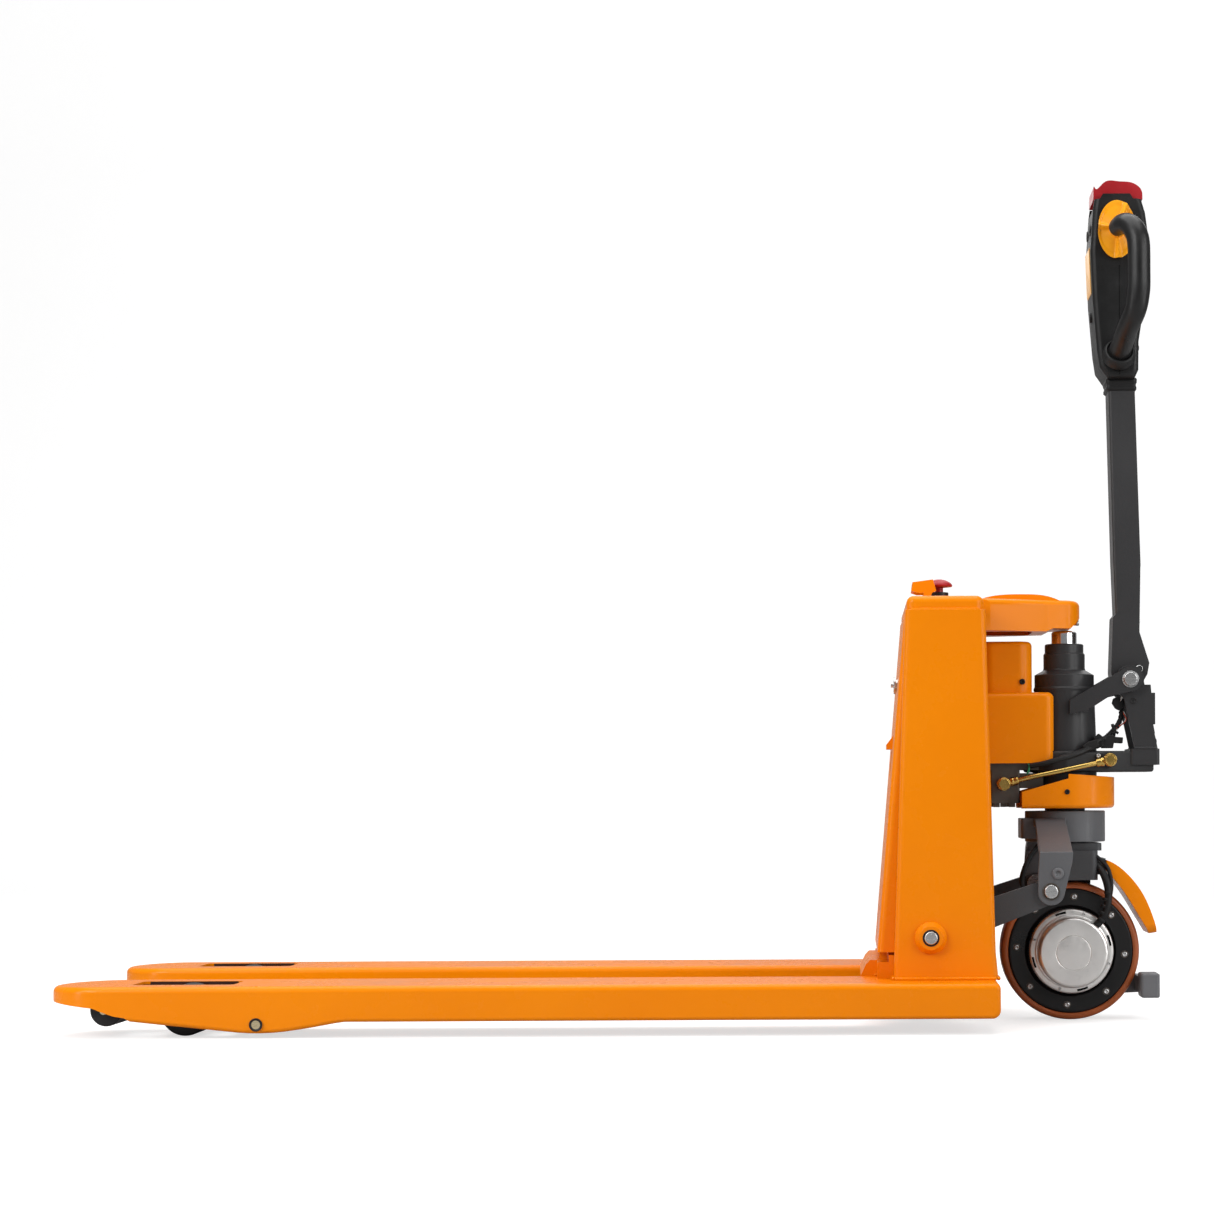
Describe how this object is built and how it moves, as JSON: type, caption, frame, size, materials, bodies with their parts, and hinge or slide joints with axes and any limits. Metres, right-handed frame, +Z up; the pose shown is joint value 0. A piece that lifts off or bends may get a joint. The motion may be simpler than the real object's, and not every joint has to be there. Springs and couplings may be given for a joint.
{
  "type": "electric pallet truck",
  "caption": "Low-lift walk-behind powered pallet truck: long forks with rollers, box body, steered drive column and upright tiller.",
  "frame": {"origin": "on the floor, at the centre of the bottom of the truck's box with forks lowered and the tiller upright", "axes": "+X from the fork tips to the operator, +Y to the operator's right, +Z up"},
  "size_m": [1.5959, 0.564, 1.2482],
  "materials": {
    "orange_paint": "smooth powder coat",
    "dark_paint": "satin powder coat",
    "grey_cast": "cast, painted grey",
    "steel": "machined",
    "zinc_gold": "yellow zinc plated",
    "silver_cast": "die cast",
    "chrome": "hard chrome",
    "tread": "polyurethane tread",
    "black_roller": "nylon",
    "black_plastic": "fine grained",
    "red_plastic": "smooth",
    "yellow_plastic": "smooth",
    "amber_plastic": "smooth",
    "motor_black": "gloss",
    "battery_case": "moulded"
  },
  "bodies": {
    "chassis": {"fork_left": "orange_paint", "fork_right": "orange_paint", "fork_axles": "steel", "base_plate": "orange_paint", "side_panel_left": "orange_paint", "side_panel_right": "orange_paint", "pivot_bosses": "orange_paint", "rear_bulkhead": "orange_paint", "top_cap": "orange_paint", "head_arm": "orange_paint", "controller": "silver_cast", "battery_pack": "battery_case", "estop_base": "black_plastic", "estop_guard": "amber_plastic", "battery_gauge": "black_plastic"},
    "door": {"battery_door": "orange_paint"},
    "latch": {"door_latch": "steel"},
    "estop": {"estop_button": "red_plastic"},
    "crank": {"pivot_shaft": "steel", "rocker_arms": "grey_cast"},
    "rods": {"push_rods": "dark_paint"},
    "links": {"roller_links": "dark_paint"},
    "load_left": {"load_wheel_left": "black_roller"},
    "load_right": {"load_wheel_right": "black_roller"},
    "entry_left": {"entry_roller_left": "black_roller"},
    "entry_right": {"entry_roller_right": "black_roller"},
    "collar": {"collar_bracket": "grey_cast", "rocker_pins": "steel"},
    "column": {"wheel_yoke": "grey_cast", "wheel_axle": "steel", "brake_unit": "silver_cast", "wheel_fender": "orange_paint", "foot_guard": "grey_cast", "cylinder_body": "dark_paint", "pump_motor": "motor_black", "pump_cover": "orange_paint", "valve_block": "silver_cast", "oil_pipe": "zinc_gold", "slew_guard": "orange_paint", "steer_base": "dark_paint", "tiller_yoke": "dark_paint", "support_arms": "dark_paint", "tiller_pivot_pin": "steel"},
    "drive_wheel": {"drive_tyre": "tread", "drive_rim": "motor_black", "rim_screws": "steel"},
    "piston": {"piston_rod": "chrome"},
    "tiller": {"tiller_arm": "dark_paint", "head_front_shell": "black_plastic", "head_rear_shell": "black_plastic", "hand_grips": "black_plastic", "control_panel": "amber_plastic"},
    "throttle": {"throttle_wings": "yellow_plastic"},
    "belly": {"belly_button": "red_plastic"},
    "raise": {"raise_button": "black_plastic"},
    "lower": {"lower_button": "black_plastic"},
    "horn": {"horn_button": "black_plastic"},
    "spring_barrel": {"gas_spring_barrel": "dark_paint"},
    "spring_rod": {"gas_spring_rod": "chrome"}
  },
  "joints": [
    {"name": "crank_lift", "type": "hinge", "parent": "chassis", "child": "crank", "pos_m": [0.452, 0, 0.133], "axis": [0, 1, 0], "range_deg": [0, 35]},
    {"name": "collar_level", "type": "hinge", "parent": "crank", "child": "collar", "pos_m": [0.627, 0, 0.196], "axis": [0, 1, 0], "range_deg": [-35, 0]},
    {"name": "steer", "type": "hinge", "parent": "collar", "child": "column", "pos_m": [0.66, 0, 0.29], "axis": [0, 0, 1], "range_deg": [-90, 90]},
    {"name": "drive_spin", "type": "hinge", "parent": "column", "child": "drive_wheel", "pos_m": [0.665, 0, 0.103], "axis": [0, 1, 0], "continuous": true},
    {"name": "piston_slide", "type": "slide", "parent": "column", "child": "piston", "axis": [0, 0, 1], "range_m": [0, 0.1118]},
    {"name": "tiller_tilt", "type": "hinge", "parent": "column", "child": "tiller", "pos_m": [0.754, 0, 0.506], "axis": [0, 1, 0], "range_deg": [0, 80], "stiffness_Nm_per_rad": 40, "springref_deg": -8.59},
    {"name": "push_rod_slide", "type": "slide", "parent": "chassis", "child": "rods", "axis": [-1, 0, 0], "range_m": [0, 0.0449]},
    {"name": "link_swing", "type": "hinge", "parent": "chassis", "child": "links", "pos_m": [-0.495, 0, 0.0196], "axis": [0, 1, 0], "range_deg": [-68.2, 0]},
    {"name": "load_left_spin", "type": "hinge", "parent": "links", "child": "load_left", "pos_m": [-0.606, -0.2, 0.036], "axis": [0, 1, 0], "continuous": true},
    {"name": "load_right_spin", "type": "hinge", "parent": "links", "child": "load_right", "pos_m": [-0.606, 0.2, 0.036], "axis": [0, 1, 0], "continuous": true},
    {"name": "entry_left_spin", "type": "hinge", "parent": "chassis", "child": "entry_left", "pos_m": [-0.71, -0.2, 0.039], "axis": [0, 1, 0], "continuous": true},
    {"name": "entry_right_spin", "type": "hinge", "parent": "chassis", "child": "entry_right", "pos_m": [-0.71, 0.2, 0.039], "axis": [0, 1, 0], "continuous": true},
    {"name": "throttle_twist", "type": "hinge", "parent": "tiller", "child": "throttle", "pos_m": [0.738, 0, 1.171], "axis": [0, 1, 0], "range_deg": [-25, 25], "stiffness_Nm_per_rad": 0.6},
    {"name": "belly_press", "type": "slide", "parent": "tiller", "child": "belly", "axis": [0, 0, -1], "range_m": [0, 0.006], "stiffness_N_per_m": 500},
    {"name": "raise_press", "type": "slide", "parent": "tiller", "child": "raise", "axis": [1, 0, 0], "range_m": [0, 0.0018], "stiffness_N_per_m": 400},
    {"name": "lower_press", "type": "slide", "parent": "tiller", "child": "lower", "axis": [1, 0, 0], "range_m": [0, 0.0018], "stiffness_N_per_m": 400},
    {"name": "horn_press", "type": "slide", "parent": "tiller", "child": "horn", "axis": [1, 0, 0], "range_m": [0, 0.0018], "stiffness_N_per_m": 400},
    {"name": "spring_swing", "type": "hinge", "parent": "column", "child": "spring_barrel", "pos_m": [0.789, 0, 0.414], "axis": [0, 1, 0], "range_deg": [-1.4, 0]},
    {"name": "spring_stroke", "type": "slide", "parent": "spring_barrel", "child": "spring_rod", "axis": [-0.1763, 0, 0.9843], "range_m": [-0.029, 0]},
    {"name": "door_fold", "type": "hinge", "parent": "chassis", "child": "door", "pos_m": [0.386, 0, 0.112], "axis": [0, 1, 0], "range_deg": [-80, 0]},
    {"name": "latch_turn", "type": "hinge", "parent": "door", "child": "latch", "pos_m": [0.409, 0, 0.5], "axis": [1, 0, 0], "range_deg": [0, 90]},
    {"name": "estop_press", "type": "slide", "parent": "chassis", "child": "estop", "axis": [0, 0, -1], "range_m": [0, 0.005], "stiffness_N_per_m": 500}
  ],
  "couplings": [
    {"joint": "collar_level", "follows": "crank_lift", "ratio": -1},
    {"joint": "piston_slide", "follows": "crank_lift", "m_per_rad": 0.18297},
    {"joint": "push_rod_slide", "follows": "crank_lift", "m_per_rad": 0.07333},
    {"joint": "link_swing", "follows": "crank_lift", "ratio": -1.9457},
    {"joint": "spring_swing", "follows": "tiller_tilt", "ratio": -0.0168},
    {"joint": "spring_stroke", "follows": "tiller_tilt", "m_per_rad": -0.0207}
  ]
}
